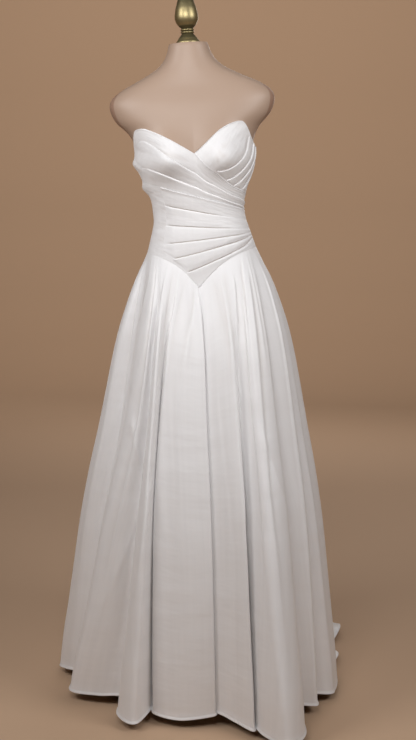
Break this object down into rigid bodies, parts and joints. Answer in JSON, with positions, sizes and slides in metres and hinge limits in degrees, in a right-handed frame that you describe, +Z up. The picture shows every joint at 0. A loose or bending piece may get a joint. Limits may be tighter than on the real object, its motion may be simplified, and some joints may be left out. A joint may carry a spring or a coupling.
{
  "type": "a-line wedding dress on dress form",
  "caption": "Strapless A-line satin gown with crossed pleated bodice, pointed waist seam, deep skirt folds and short train, on a limbless dress form with pole stand.",
  "frame": {"origin": "middle of the stand base's underside, on the floor", "axes": "+Z up, the gown's front faces -Y, +X is the wearer's left side"},
  "size_m": [0.7455, 1.0907, 1.7047],
  "materials": {
    "satin": "satin",
    "lining": "matte",
    "form_cover": "matte",
    "finial_brass": "antique",
    "stand_steel": "satin",
    "zip_nickel": "satin"
  },
  "bodies": {
    "gown_and_form": {"form_torso": "form_cover", "form_finial": "finial_brass", "stand_pole": "stand_steel", "stand_base": "stand_steel", "bodice_cup_left": "satin", "bodice_cup_right": "satin", "bodice_midriff_front": "satin", "bodice_side_left": "satin", "bodice_back_left": "satin", "bodice_back_right": "satin", "skirt_front": "satin", "skirt_side_left": "satin", "skirt_side_right": "satin", "skirt_back_left": "satin", "skirt_back_right": "satin", "underskirt_front": "lining", "underskirt_back": "lining", "zip_slider": "zip_nickel"},
    "pull": {"zip_pull": "zip_nickel"}
  },
  "joints": [
    {"name": "zip_pull_flip", "type": "hinge", "parent": "gown_and_form", "child": "pull", "pos_m": [-0.01309, 0.1, 1.26245], "axis": [0.9979, 0, 0.0645], "range_deg": [0, 150]}
  ]
}
